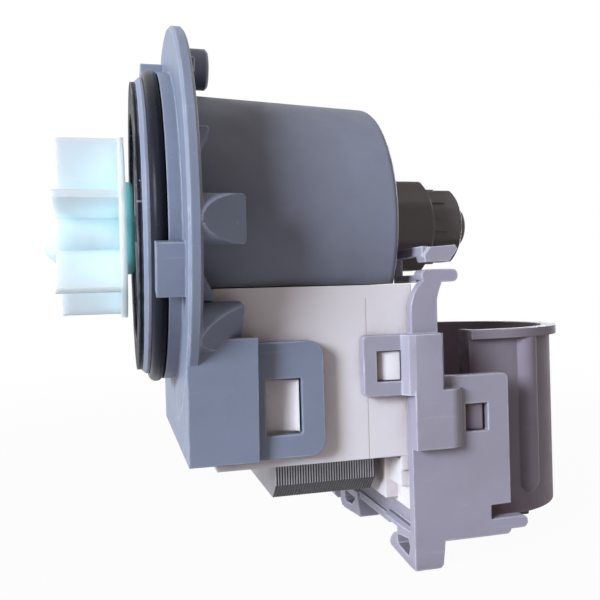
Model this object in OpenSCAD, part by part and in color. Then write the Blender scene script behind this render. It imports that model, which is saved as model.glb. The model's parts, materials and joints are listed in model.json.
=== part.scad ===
// Washer drain pump with a canned permanent magnet rotor and a clip-on terminal housing.
// The pump axis is X: the impeller points to -X and the rear nose to +X. The coils hang below in -Z.
// The origin is on the pump axis, in the front face of the bayonet flange.

/* [Pump head] */
// Diameter of the bayonet flange
flange_d = 85.8; // [84:0.2:90]
// Thickness of the bayonet flange
flange_t = 2.6; // [2.2:0.1:3.4]
// Diameter of the spigot that enters the filter housing
spigot_d = 64.6; // [64:0.2:66]
// Length of the spigot in front of the flange
spigot_len = 7; // [6.6:0.1:8]
// Wall of the spigot
spigot_wall = 5; // [4.2:0.1:5.4]
// Number of bayonet lugs
lug_count = 3; // [3:1:4]
// Radial thickness of a bayonet lug
lug_t = 3.8; // [3:0.1:4.4]
// Length of a bayonet lug along the pump axis
lug_len = 5.2; // [4:0.1:6]
// Angle that a bayonet lug spans
lug_span = 15; // [12:1:20]
// Diameter of the posts behind the flange
post_d = 9.1; // [8:0.1:10.4]
// Length of the posts behind the flange
post_len = 8.1; // [7:0.1:10]
// Depth of the lower block behind the flange face
block_len = 13.4; // [12.6:0.1:15]

/* [Seals] */
// Section diameter of the main O-ring
o_ring_section = 3; // [2.8:0.1:3.2]
// Diameter of the thin front seal ring
front_seal_d = 62.8; // [61:0.2:63.4]
// Thickness of the thin front seal ring
front_seal_t = 1; // [0.8:0.1:1.2]
// Section diameter of the seal between the can and the head
can_seal_section = 1.6; // [1.4:0.1:1.8]

/* [Motor drum] */
// Diameter of the drum where it meets the flange
drum_d_front = 58.4; // [58:0.2:60.4]
// Diameter of the drum at its rear rim
drum_d_rear = 54.8; // [54.4:0.2:57.6]
// Distance from the flange face to the rear of the drum
drum_end = 44.8; // [43.6:0.1:47]
// Wall of the drum
drum_wall = 2; // [1.6:0.1:2.2]
// Height of the flat underside of the drum below the pump axis
drum_flat = 14; // [13.8:0.1:14.2]

/* [Rotor can] */
// Outer diameter of the can inside the core bore
can_d = 25.6; // [25.2:0.1:25.8]
// Wall of the can
can_wall = 0.8; // [0.7:0.05:0.9]
// Width across the flats of the large step of the rear nose
nose_d_large = 21.4; // [20.8:0.1:22.4]
// Distance from the flange face to the end of the large step
nose_end_large = 61; // [60:0.1:62]
// Width across the flats of the small step of the rear nose
nose_d_small = 17.4; // [16.8:0.1:18.8]
// Distance from the flange face to the end of the small step
nose_end_small = 68.3; // [67:0.1:70]
// Diameter of the flange at the mouth of the can
can_flange_d = 56.6; // [55:0.1:56.8]
// Thickness of the flange at the mouth of the can
can_flange_t = 2.2; // [1.8:0.1:2.4]

/* [Rotor] */
// Diameter of the shaft
shaft_d = 6; // [5.6:0.1:6.4]
// Diameter of the ring magnet
magnet_d = 22.6; // [22:0.1:22.8]
// Bore of the ring magnet
magnet_bore = 13; // [12.6:0.1:14]
// Length of the ring magnet
magnet_len = 28; // [26:0.1:30]
// Diameter of the bearing bushes
bearing_d = 12; // [11:0.1:12.6]
// Length of the bearing bushes
bearing_len = 9; // [8:0.1:9.2]
// Thickness of the thrust washers
washer_t = 1; // [0.6:0.1:1.4]

/* [Impeller] */
// Diameter over the impeller vanes
vane_d = 39; // [36:0.2:40]
// Number of vanes
vane_count = 6; // [4:1:7]
// Thickness of a vane
vane_t = 1.6; // [1.2:0.1:2]
// Length of the vanes along the pump axis
vane_len = 12.8; // [12:0.1:14]
// Diameter of the impeller back disc
disc_d = 39.6; // [38:0.2:44]
// Thickness of the impeller back disc
disc_t = 1.3; // [1:0.1:1.5]
// Diameter of the impeller hub
hub_d = 16.4; // [16:0.1:18]
// Diameter of the coupling cap behind the disc
cap_d = 20.4; // [19:0.2:24]
// Angle that the drive dog spans
dog_span = 50; // [40:1:60]
// Angle that the stop in the hub spans
stop_span = 40; // [30:1:50]
// Angle that each rubber damper spans
damper_span = 12; // [8:1:16]

/* [Core and coils] */
// Number of laminations in the core
lamination_count = 39; // [30:1:40]
// Pitch of the laminations
lamination_pitch = 0.56; // [0.52:0.01:0.57]
// Width over the two legs of the core
core_w = 40; // [39.4:0.1:40.6]
// Width of one leg of the core
leg_w = 10; // [9.6:0.1:10.4]
// Depth of the bottom of the core below the pump axis
core_depth = 58.3; // [58:0.1:60]
// Height of the yoke that joins the legs
yoke_h = 8.2; // [7.6:0.1:8.4]
// Chamfer on the lower corners of the core
core_chamfer = 3.2; // [2:0.1:4]
// Wall of the bobbins
bobbin_wall = 1; // [0.8:0.1:1.2]
// Build-up of the wire on each bobbin
winding_t = 3; // [2:0.1:3.2]
// Length of the coil cover along the pump axis
cover_len = 41.2; // [40.8:0.1:42]
// Width of the coil cover
cover_w = 53; // [52.4:0.1:53.4]
// Depth of the bottom of the coil cover below the pump axis
cover_depth = 49.6; // [49.2:0.1:49.8]
// Wall of the coil cover
cover_wall = 1.2; // [1:0.1:1.3]

/* [Latches] */
// Thickness of the latch plates on the pump head
latch_t = 2.5; // [2.1:0.1:3]
// Height of the latch ramps on the coil cover
ramp_h = 2; // [1.6:0.1:2.1]

/* [Terminal housing] */
// Thickness of the side cheeks of the terminal housing
cheek_t = 2.2; // [2:0.1:2.6]
// Thickness of the raised pads on the cheeks
pad_t = 2.4; // [1.6:0.1:3]
// Thickness of the rear wall of the terminal housing
rear_wall_t = 2.2; // [1.8:0.1:2.6]
// Diameter of the connector shroud
shroud_d = 43; // [41:0.2:44]
// Height of the connector shroud
shroud_h = 41.4; // [38:0.1:43]
// Wall of the connector shroud
shroud_wall = 1.8; // [1.4:0.1:2.2]
// Distance from the pump head face to the middle of the connector shroud
shroud_x = 71; // [70.6:0.1:72]
// Width of the terminal blades
blade_w = 6.3; // [4.8:0.1:6.3]
// Thickness of the terminal blades
blade_t = 0.8; // [0.5:0.1:1]

/* [Hidden] */
$fn = 96;
cut = 0.1;
fit_gap = 0.2;
running_gap = 0.05;

// Pump head
flange_r = flange_d / 2;
groove_depth = 2.5;
spigot_r = spigot_d / 2;
can_fit = 0.3;
spigot_bore_r = can_flange_d / 2 + can_fit;
spigot_base_r = spigot_bore_r + spigot_wall;
lip_chamfer = (spigot_r - spigot_bore_r) / 5;
groove_floor_r = spigot_base_r - groove_depth;
groove_w = o_ring_section;
groove_back = -2.6;
groove_front = groove_back - groove_w;
lug_clearance = 0.5;
lug_in_r = groove_floor_r + o_ring_section + lug_clearance;
post_circle_r = flange_r - post_d / 2 - 0.1;
top_post_in = 2.1;
wedge_r = [34.4, 37.2];
can_seal_r = can_flange_d / 2 - 7.3;

// Core and coil cover
core_x1 = 18.6;
core_len = lamination_count * lamination_pitch;
core_x2 = core_x1 + core_len;
leg_out = core_w / 2;
leg_in = leg_out - leg_w;
yoke_top = -core_depth + yoke_h;
core_top = 14;
pole_bottom = -13.4;
pole_gap = 8;
core_bore_r = can_d / 2 + 0.3;
lamination_gap = 0.12;
lamination_relief = 0.3;
cover_x1 = 5.8;
cover_x2 = cover_x1 + cover_len;
cover_y = cover_w / 2;
cover_top = -drum_flat - 0.2;
bobbin_top = cover_top - cover_wall - 0.2;
bobbin_bottom = yoke_top + 0.2;
flange_over = 0.3;
bobbin_flange_t = 1;

// Lower block and latch plates of the pump head
block_top = -23.6;
block_bottom = -cover_depth + 2.2;
block_y_top = 32.6;
block_y_bottom = 30.8;
latch_x2 = 27;
latch_top = -24.8;
window_x = [15.2, 22.4];
window_z = [-42.9, -32];
rear_ramp_x = [38.4, 43.4];
rear_ramp_z = [-33.6, -27.8];

// Can, bearings and rotor
can_r = can_d / 2;
can_bore_r = can_r - can_wall;
nose_step = 46.6;
nose_bore_r = nose_d_large / 2 - 1.8;
nose_pad_t = 0.4;
shaft_r = shaft_d / 2;
shaft_front = -24.4;
bearing_r = bearing_d / 2;
front_bearing_x = -4.2;
rear_bearing_x = nose_end_large - 1.8 - bearing_len;
front_mount_r = bearing_r + 2;
cover_rim_w = 3.6;
front_seal_w = 6.4;
shaft_seal_t = 2;
cover_plate_back = -spigot_len + 1.6;
cover_hub_r = front_mount_r + 1.8;
end_play = 0.3;
rotor_x1 = front_bearing_x + bearing_len + end_play + washer_t;
rotor_x2 = rear_bearing_x - end_play - washer_t;
magnet_x1 = core_x1 + core_len / 2 - magnet_len / 2;
magnet_x2 = magnet_x1 + magnet_len;

// Impeller and its coupling
disc_back = -9.65;
disc_front = disc_back - disc_t;
vane_front = disc_front - vane_len;
hub_r = hub_d / 2;
chamber_r = hub_r - 1.8;
chamber_front = vane_front + 4;
nose_front = vane_front - 2.9;
first_vane = 15.2;
dog_r = shaft_r + 1.2;
dog_gap = 0.3;
dog_x1 = chamber_front + dog_gap;
dog_x2 = disc_back - dog_gap;

// Terminal housing and connector shroud
blade_y = 12;
blade_z = -40;
blade_out = 12;
blade_hole_r = 0.9;
cheek_y1 = -cover_y - fit_gap - cheek_t;
cheek_y2 = -cover_y - fit_gap;
pad_y = cheek_y1 - pad_t;
housing_x1 = cover_x2 + fit_gap;
housing_x2 = housing_x1 + rear_wall_t;
cheek_x1 = cover_x2 - 1.6;
cheek_x2 = cover_x2 + 20.4;
cheek_top = -33.4;
cheek_bottom = -core_depth - 9.1;
rear_wall_top = -24;
tray_z = -core_depth - 8;
tab_x1 = cover_x2 - 11.6;
tab_z = [-36.7, -24.4];
cheek_window_x = [cover_x2 + 10.4, cover_x2 + 15.6];
cheek_window_z = [-45.2, -39.4];
loop_len = 5;
neck_top = -12.4;
tray_split_y = -12;
finger_post_y = -12.4;
shroud_top = -24.6;
shroud_low = shroud_top - shroud_h;
shroud_r = shroud_d / 2;
shroud_in_r = shroud_r - shroud_wall;
shroud_mouth_x = shroud_x - 8.5;
shroud_rib_x = shroud_x + 5.8;

// Terminal carrier below the rear of the coil cover
carrier_x1 = cover_x2 - 4;
carrier_y = 19.4;
carrier_top = -cover_depth - 0.8;
carrier_bottom = -core_depth - 1.8;

// A solid turned about the pump axis from points given as [radius, x]
module turned(points) {
    rotate([0, 90, 0]) rotate_extrude() polygon(points);
}

// A ring about the pump axis
module ring_x(r_in, r_out, x1, x2) {
    turned([[r_in, x1], [r_out, x1], [r_out, x2], [r_in, x2]]);
}

// An outline in Y and Z drawn out along X
module along_x(x1, x2) {
    translate([x1, 0, 0]) rotate([90, 0, 90]) linear_extrude(x2 - x1) children();
}

// An outline in X and Z drawn out along Y
module along_y(y1, y2) {
    translate([0, y2, 0]) rotate([90, 0, 0]) linear_extrude(y2 - y1) children();
}

// A block between two opposite corners
module block(low, high) {
    translate(low) cube(high - low);
}

// A flat rectangle with round corners between two opposite corners
module round_rect(low, high, r) {
    translate([low.x + r, low.y]) square([high.x - low.x - 2 * r, high.y - low.y]);
    translate([low.x, low.y + r]) square([high.x - low.x, high.y - low.y - 2 * r]);
    for (x = [low.x + r, high.x - r], y = [low.y + r, high.y - r])
        translate([x, y]) circle(r);
}

// The same thing on the near and the far side of the pump
module both_sides() {
    children();
    mirror([0, 1, 0]) children();
}

// Turn about the pump axis, from the near side towards the top
module at_angle(angle) {
    rotate([-angle, 0, 0]) children();
}

// A sector of a ring about the pump axis, in its middle at the near side
module ring_sector(r_in, r_out, x1, x2, span) {
    along_x(x1, x2) intersection() {
        difference() {
            circle(r_out);
            circle(r_in);
        }
        polygon(concat([[0, 0]], [for (i = [-2:2])
            2 * r_out * [-cos(span * i / 4), sin(span * i / 4)]]));
    }
}

function arc(centre, r, a1, a2, steps) =
    [for (i = [0:steps]) centre + r * [cos(a1 + (a2 - a1) * i / steps), sin(a1 + (a2 - a1) * i / steps)]];

// Pump head

module head_shell() {
    turned([
        [core_bore_r, 0],
        [spigot_bore_r, 0],
        [spigot_bore_r, -spigot_len],
        [spigot_r - lip_chamfer, -spigot_len],
        [spigot_r, -spigot_len + lip_chamfer],
        [spigot_r, groove_front],
        [groove_floor_r, groove_front],
        [groove_floor_r, groove_back],
        [spigot_base_r, groove_back],
        [spigot_base_r, 0],
        [flange_r - 0.5, 0],
        [flange_r, 0.5],
        [flange_r, flange_t - 0.5],
        [flange_r - 0.5, flange_t],
        [core_bore_r, flange_t]
    ]);
}

module bayonet_lugs() {
    for (i = [0:lug_count - 1])
        at_angle(-16.5 + 360 / lug_count * i)
            ring_sector(lug_in_r, lug_in_r + lug_t, -lug_len, cut, lug_span);
}

// A round post with a chamfered end
module round_post(length) {
    r = post_d / 2;
    turned([[0, 0], [r, 0], [r, length - 0.6], [r - 0.6, length], [0, length]]);
}

// A round post whose outer side is cut to a slope that deepens to the rear
module sloped_post(angle) {
    at_angle(angle) translate([0, -post_circle_r, 0]) difference() {
        round_post(flange_t + post_len);
        translate([flange_t, -post_d / 2, -post_d]) rotate([0, 0, 28])
            translate([0, -post_d, 0]) cube([2 * post_len, post_d, 2 * post_d]);
    }
}

// A wedge behind the flange that rises along its edge
module flange_wedge(angle, side) {
    at_angle(angle) along_y(-wedge_r[1], -wedge_r[0]) polygon([
        [flange_t - cut, 0.7 * side],
        [flange_t + 2.2, 0.7 * side],
        [flange_t + 2.5, 0.4 * side],
        [flange_t + 2.5, -0.4 * side],
        [flange_t, -5.4 * side],
        [flange_t - cut, -5.4 * side]
    ]);
}

module lower_block() {
    difference() {
        along_x(cut, block_len) polygon([
            [-block_y_top, block_top],
            [block_y_top, block_top],
            [block_y_bottom, block_bottom],
            [-block_y_bottom, block_bottom]
        ]);
        block([cover_x1 - fit_gap, -cover_y - fit_gap, block_bottom - cut],
              [block_len + cut, cover_y + fit_gap, block_top + cut]);
        turned([[0, flange_t], [drum_d_front / 2 + fit_gap, flange_t],
                [drum_d_front / 2 + fit_gap, block_len + 1], [0, block_len + 1]]);
    }
}

module latch_plate() {
    along_y(-cover_y - fit_gap - latch_t, -cover_y - fit_gap) difference() {
        round_rect([block_len - 4, block_bottom], [latch_x2, latch_top], 3);
        round_rect([window_x[0], window_z[0]], [window_x[1], window_z[1]], 0.4);
    }
}

module pump_head() color("#8790a8") {
    difference() {
        union() {
            head_shell();
            bayonet_lugs();
            translate([0, 0, post_circle_r - top_post_in]) round_post(flange_t + post_len - 1.2);
            both_sides() {
                sloped_post(-3);
                sloped_post(-33.5);
                flange_wedge(23.4, 1);
                flange_wedge(-25.2, -1);
                flange_wedge(66, -1);
            }
            lower_block();
            both_sides() latch_plate();
        }
        turned([
            [can_seal_r - can_seal_section / 2 - 0.2, -cut],
            [can_seal_r + can_seal_section / 2 + 0.2, -cut],
            [can_seal_r + can_seal_section / 2 + 0.2, can_seal_section],
            [can_seal_r - can_seal_section / 2 - 0.2, can_seal_section]
        ]);
    }
}

// Seals

module o_ring(middle_r, section, x) {
    translate([x, 0, 0]) rotate([0, 90, 0]) rotate_extrude()
        translate([middle_r, 0]) circle(d = section, $fn = 32);
}

module main_o_ring() color("#17171a")
    o_ring(groove_floor_r + o_ring_section / 2, o_ring_section, groove_front + groove_w / 2);

module can_seal() color("#17171a")
    o_ring(can_seal_r, can_seal_section, can_seal_section / 2);

module front_seal_ring() color("#101012")
    ring_x(front_seal_d / 2 - front_seal_w, front_seal_d / 2, -spigot_len - front_seal_t, -spigot_len);

module shaft_seal() color("#17171a")
    turned([
        [shaft_r + running_gap, front_bearing_x - shaft_seal_t],
        [front_mount_r, front_bearing_x - shaft_seal_t],
        [front_mount_r, front_bearing_x],
        [shaft_r + running_gap, front_bearing_x]
    ]);

// Front bearing cover, which closes the can and holds the front bearing

module bearing_cover() color("#1d1c1e")
    turned([
        [shaft_r + 1.4, -spigot_len],
        [spigot_bore_r - running_gap, -spigot_len],
        [spigot_bore_r - running_gap, -can_flange_t],
        [spigot_bore_r - 3, -can_flange_t],
        [spigot_bore_r - 3, cover_plate_back],
        [cover_hub_r, cover_plate_back],
        [cover_hub_r, front_bearing_x + bearing_len],
        [front_mount_r, front_bearing_x + bearing_len],
        [front_mount_r, front_bearing_x - 2],
        [shaft_r + 1.4, front_bearing_x - 2]
    ]);

module front_bearing() color("#b08a5a")
    ring_x(shaft_r + running_gap, bearing_r, front_bearing_x, front_bearing_x + bearing_len);

module front_bearing_mount() color("#2a2a2c")
    ring_x(bearing_r, front_mount_r, front_bearing_x, front_bearing_x + bearing_len);

module rear_bearing() color("#b08a5a")
    ring_x(shaft_r + running_gap, bearing_r, rear_bearing_x, rear_bearing_x + bearing_len);

module rear_bearing_mount() color("#2a2a2c")
    ring_x(bearing_r, nose_bore_r, rear_bearing_x, rear_bearing_x + bearing_len);

// Rotor can with its stepped rear nose

// An eight-sided bar along the pump axis with a flat on top
module eight_sides(flats, x1, x2) {
    along_x(x1, x2) rotate(22.5) circle(r = flats / 2 / cos(22.5), $fn = 8);
}

module nose_form() {
    large_r = nose_d_large / 2 * 1.06;
    small_r = nose_d_small / 2 * 1.06;
    intersection() {
        eight_sides(nose_d_large, nose_step, nose_end_large);
        turned([
            [0, nose_step],
            [large_r, nose_step],
            [large_r, nose_end_large - 1.5],
            [small_r, nose_end_large],
            [0, nose_end_large]
        ]);
    }
    intersection() {
        eight_sides(nose_d_small, nose_end_large - cut, nose_end_small);
        turned([
            [0, nose_end_large - cut],
            [small_r, nose_end_large - cut],
            [small_r, nose_end_small - 0.6],
            [small_r - 0.8, nose_end_small],
            [0, nose_end_small]
        ]);
    }
    turned([
        [0, nose_end_small - cut],
        [5.6, nose_end_small - cut],
        [5.2, nose_end_small + 1.6],
        [4.6, nose_end_small + 2.8],
        [3, nose_end_small + 3.5],
        [0, nose_end_small + 3.7]
    ]);
    for (i = [0:7])
        at_angle(45 * i)
            block([nose_end_large - cut, -nose_d_small / 2 - nose_pad_t, -1.8],
                  [nose_end_large + 3.2, -nose_d_small / 2 + cut, 0.7]);
}

module rotor_can() color("#3c3733") {
    inner_small_r = nose_d_small / 2 - 1.8;
    difference() {
        union() {
            nose_form();
            turned([
                [0, -can_flange_t],
                [can_flange_d / 2, -can_flange_t],
                [can_flange_d / 2, 0],
                [can_r, 0],
                [can_r, nose_step + 0.6],
                [nose_d_large / 2, nose_step + 1.6],
                [0, nose_step + 1.6]
            ]);
        }
        turned([
            [0, -can_flange_t - 1],
            [can_bore_r, -can_flange_t - 1],
            [can_bore_r, nose_step - 1.2],
            [nose_bore_r, nose_step],
            [nose_bore_r, rear_bearing_x + bearing_len],
            [inner_small_r, rear_bearing_x + bearing_len],
            [inner_small_r, nose_end_small - 2],
            [0, nose_end_small - 2]
        ]);
    }
}

// Motor drum over the pole ends

module drum_form(shrink, x1, x2, corner) {
    r_front = drum_d_front / 2 - shrink;
    r_rear = drum_d_rear / 2 - shrink;
    flat = drum_flat - shrink;
    difference() {
        turned(concat(
            [[0, x1], [r_front, x1]],
            arc([r_rear - corner, x2 - corner], corner, 0, 90, 6),
            [[0, x2]]
        ));
        block([x1 - 1, -flange_r, -flange_r], [x2 + 1, flange_r, -flat]);
    }
}

module motor_drum() color("#6d6f78") {
    difference() {
        drum_form(0, flange_t, drum_end, 1.5);
        drum_form(drum_wall, flange_t - cut, drum_end - drum_wall, 1);
        rotate([0, 90, 0]) cylinder(h = drum_end + 1, r = can_r + 0.1);
        both_sides() block(
            [core_x1 - fit_gap, -leg_out - fit_gap, -drum_flat - 1],
            [core_x2 + fit_gap, -pole_gap / 2 + fit_gap, -drum_flat + drum_wall + cut]
        );
    }
}

// Rotor

module rotor_shaft() color("#c9ccd0")
    turned([
        [0, shaft_front],
        [shaft_r - 0.5, shaft_front],
        [shaft_r, shaft_front + 0.5],
        [shaft_r, rear_bearing_x + bearing_len + 1.5],
        [shaft_r - 0.5, rear_bearing_x + bearing_len + 2],
        [0, rear_bearing_x + bearing_len + 2]
    ]);

module rotor_sleeve() color("#e9e6da") {
    end_r = magnet_d / 2 - 1.6;
    turned([
        [shaft_r, rotor_x1],
        [shaft_r + 2, rotor_x1],
        [shaft_r + 2.4, magnet_x1 - 1.2],
        [end_r, magnet_x1 - 1.2],
        [end_r, magnet_x1],
        [magnet_bore / 2, magnet_x1],
        [magnet_bore / 2, magnet_x2],
        [end_r, magnet_x2],
        [end_r, magnet_x2 + 1.2],
        [shaft_r + 2.4, magnet_x2 + 1.2],
        [shaft_r + 2, rotor_x2],
        [shaft_r, rotor_x2]
    ]);
}

module rotor_magnet() color("#3a3a3d")
    ring_x(magnet_bore / 2, magnet_d / 2, magnet_x1, magnet_x2);

module thrust_washers() color("#d8d2b8") {
    ring_x(shaft_r, shaft_r + 2, rotor_x1 - washer_t, rotor_x1);
    ring_x(shaft_r, shaft_r + 2, rotor_x2, rotor_x2 + washer_t);
}

module drive_dog() color("#e9e6da") {
    ring_x(shaft_r, dog_r, dog_x1, dog_x2);
    at_angle(180)
        ring_sector(dog_r - cut, chamber_r - dog_gap, dog_x1, dog_x2, dog_span);
}

// Impeller with its lost-motion chamber

module impeller_vanes() {
    for (i = [0:vane_count - 1])
        at_angle(first_vane + 360 / vane_count * i)
            block([vane_front, -vane_d / 2, -vane_t / 2],
                  [disc_front + cut, -chamber_r - 0.8, vane_t / 2]);
}

module impeller() color("#d6f1f5") {
    difference() {
        union() {
            turned([
                [0, nose_front],
                [5.4, nose_front],
                [5.9, nose_front + 0.4],
                [7.4, nose_front + 2],
                [hub_r, vane_front + 0.4],
                [hub_r, disc_front],
                [disc_d / 2, disc_front],
                [disc_d / 2, disc_back],
                [0, disc_back]
            ]);
            impeller_vanes();
        }
        turned([
            [0, shaft_front - 0.3],
            [shaft_r + running_gap, shaft_front - 0.3],
            [shaft_r + running_gap, chamber_front],
            [chamber_r, chamber_front],
            [chamber_r, disc_back + cut],
            [0, disc_back + cut]
        ]);
    }
    ring_sector(dog_r + dog_gap, chamber_r + 0.5, chamber_front - cut, disc_back, stop_span);
}

module coupling_cap() color("#5fa59b")
    turned([
        [dog_r + 0.1, disc_back],
        [cap_d / 2, disc_back],
        [cap_d / 2, disc_back + 1.2],
        [cap_d / 2 - 0.5, disc_back + 1.7],
        [dog_r + 0.1, disc_back + 1.7]
    ]);

module coupling_dampers() color("#2a2a2c") {
    for (side = [-1, 1])
        at_angle(side * (stop_span + damper_span) / 2)
            ring_sector(dog_r + dog_gap, chamber_r, chamber_front, disc_back, damper_span);
}

// Core and coils

module core_outline(inset) {
    slope = inset * 0.42;
    difference() {
        polygon([
            [-leg_out + inset, core_top],
            [-leg_out + inset, -core_depth + core_chamfer + slope],
            [-leg_out + core_chamfer + slope, -core_depth + inset],
            [leg_out - core_chamfer - slope, -core_depth + inset],
            [leg_out - inset, -core_depth + core_chamfer + slope],
            [leg_out - inset, core_top]
        ]);
        translate([-leg_in, yoke_top]) square([2 * leg_in, pole_bottom - yoke_top]);
        translate([-pole_gap / 2, pole_bottom - 1]) square([pole_gap, core_top - pole_bottom + 2]);
        circle(core_bore_r);
    }
}

module stator_core() color("#6f6f72") {
    along_x(core_x1, core_x2 - lamination_gap) core_outline(lamination_relief);
    for (i = [0:lamination_count - 1])
        along_x(core_x1 + i * lamination_pitch, core_x1 + (i + 1) * lamination_pitch - lamination_gap)
            core_outline(0);
}

module coil_frame(grow, z1, z2) {
    block([core_x1 - fit_gap - grow, -leg_out - fit_gap - grow, z1],
          [core_x2 + fit_gap + grow, -leg_in + fit_gap + grow, z2]);
}

module near_bobbin() color("#e8e4da") {
    wide = bobbin_wall + winding_t + flange_over;
    difference() {
        union() {
            coil_frame(bobbin_wall, bobbin_bottom, bobbin_top);
            coil_frame(wide, bobbin_bottom, bobbin_bottom + bobbin_flange_t);
            coil_frame(wide, bobbin_top - bobbin_flange_t, bobbin_top);
        }
        coil_frame(0, bobbin_bottom - 1, bobbin_top + 1);
    }
}

module far_bobbin() mirror([0, 1, 0]) near_bobbin();

module near_winding() color("#b8642c")
    difference() {
        coil_frame(bobbin_wall + winding_t, bobbin_bottom + bobbin_flange_t, bobbin_top - bobbin_flange_t);
        coil_frame(bobbin_wall, bobbin_bottom - 1, bobbin_top + 1);
    }

module far_winding() mirror([0, 1, 0]) near_winding();

function ramp_points(run, height, hollow) = [for (angle = [15:15:90])
    hollow ? [run * sin(angle), height * (1 - cos(angle))] : [run * (1 - cos(angle)), height * sin(angle)]];

// A ramp that rises from a side face at y and ends in a catch, with a hollow or a full curve
module latch_ramp(x, z, y, height, hollow) {
    translate([0, 0, z[0]]) linear_extrude(z[1] - z[0]) polygon(concat(
        [[x[0], y + cut], [x[0], y]],
        [for (p = ramp_points(x[1] - x[0], height, hollow)) [x[0] + p.x, y - p.y]],
        [[x[1], y + cut]]
    ));
}

module coil_cover_shell() {
    difference() {
        block([cover_x1, -cover_y, -cover_depth], [cover_x2, cover_y, cover_top]);
        block([cover_x1 + cover_wall, -cover_y + cover_wall, -cover_depth - 1],
              [cover_x2 - cover_wall, cover_y - cover_wall, cover_top - cover_wall]);
        both_sides() block(
            [core_x1 - fit_gap, -leg_out - fit_gap, cover_top - 2 * cover_wall],
            [core_x2 + fit_gap, -leg_in + fit_gap, cover_top + 1]
        );
        both_sides() blade_slot();
    }
}

// The rear skirt and the stepped carrier that hold the ends of the wires
module terminal_carrier() {
    block([cover_x2 - cover_wall, -cover_y, carrier_bottom - 1], [cover_x2, cover_y, -cover_depth + cut]);
    difference() {
        block([carrier_x1, -carrier_y, carrier_bottom], [cover_x2 - cut, carrier_y, carrier_top]);
        block([carrier_x1 + cover_wall, -carrier_y + cover_wall, carrier_bottom + cover_wall],
              [cover_x2 - cover_wall, carrier_y - cover_wall, carrier_top + 1]);
    }
    both_sides() {
        block([carrier_x1 + 1, -cover_y + 0.7, carrier_bottom + 4], [cover_x2 - cut, -carrier_y + cut, carrier_top]);
        block([cover_x2 - 3, -cover_y + 0.1, -cover_depth - 3], [cover_x2 - cut, -cover_y + 1, -cover_depth + cut]);
    }
}

module coil_cover() color("#dcd9e0") {
    coil_cover_shell();
    terminal_carrier();
    both_sides() latch_ramp(
        [window_x[0] + 2 * fit_gap, window_x[1] - 2 * fit_gap],
        [window_z[0] + 2 * fit_gap, window_z[1] - 2 * fit_gap],
        -cover_y,
        ramp_h,
        true
    );
    both_sides() latch_ramp(rear_ramp_x, rear_ramp_z, -cover_y, ramp_h - fit_gap, false);
}

// Terminal blades

module blade_slot() {
    block([cover_x2 - 2 * cover_wall, -blade_y - blade_w / 2 - running_gap, blade_z - running_gap],
          [cover_x2 + 10, -blade_y + blade_w / 2 + running_gap, blade_z + blade_t + running_gap]);
}

module terminal_blades() color("#b9b29a")
    both_sides() difference() {
        block([cover_x2 - cover_wall - fit_gap, -blade_y - blade_w / 2, blade_z],
              [cover_x2 + blade_out, -blade_y + blade_w / 2, blade_z + blade_t]);
        translate([cover_x2 + blade_out - 3, -blade_y, blade_z - 1])
            cylinder(h = blade_t + 2, r = blade_hole_r);
    }

// Terminal housing

// The neck between the plate and the wire fingers, in X and Z
module neck_outline() {
    polygon(concat(
        [[cheek_x1 + 0.3, tab_z[0]]],
        arc([cheek_x1 + 9, neck_top - 7.6], 8.6, 180, 130, 6),
        [[cheek_x1 + 3.8, neck_top], [cheek_x1 + 7.4, neck_top], [cheek_x1 + 7.4, neck_top - 1.5],
         [cheek_x1 + 6.6, neck_top - 3.6], [cheek_x1 + 6.2, neck_top - 5.2], [cheek_x1 + 6.2, tab_z[0]]]
    ));
}

module cheek_outline() {
    difference() {
        union() {
            round_rect([cheek_x1, cheek_bottom], [cheek_x2, cheek_top], 1.2);
            round_rect([cheek_x2 - 6, cheek_bottom + 1], [cheek_x2 + 3.9, cheek_bottom + 3.5], 1.2);
        }
        translate([cheek_window_x[0], cheek_window_z[0]]) square([
            cheek_window_x[1] - cheek_window_x[0],
            cheek_window_z[1] - cheek_window_z[0]
        ]);
        polygon([
            [cheek_x2 - 4.6, cheek_bottom + 6.4],
            [cheek_x2 - 4.6, cheek_bottom + 3.4],
            [cheek_x2 - 2.2, cheek_bottom + 3.5],
            [cheek_x2 + 5, cheek_bottom + 3.5],
            [cheek_x2 + 5, cheek_bottom + 6.6]
        ]);
        translate([cheek_x2 + 2.5, cheek_bottom - 1]) square([3, 2]);
    }
    difference() {
        round_rect([tab_x1, tab_z[0]], [housing_x2, tab_z[1]], 1);
        translate([rear_ramp_x[0] - fit_gap, rear_ramp_z[0] - fit_gap]) square([
            rear_ramp_x[1] - rear_ramp_x[0] + 2 * fit_gap,
            rear_ramp_z[1] - rear_ramp_z[0] + 2 * fit_gap
        ]);
    }
    neck_outline();
    polygon([
        [cheek_x1, cheek_bottom + 2],
        [cheek_x1, cheek_bottom - 4.4],
        [cheek_x1 + 1, cheek_bottom - 5.4],
        [cheek_x1 + 5.6, cheek_bottom - 5.4],
        [cheek_x1 + 6.2, cheek_bottom - 4.8],
        [cheek_x1 + 7, cheek_bottom + 2]
    ]);
}

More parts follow.
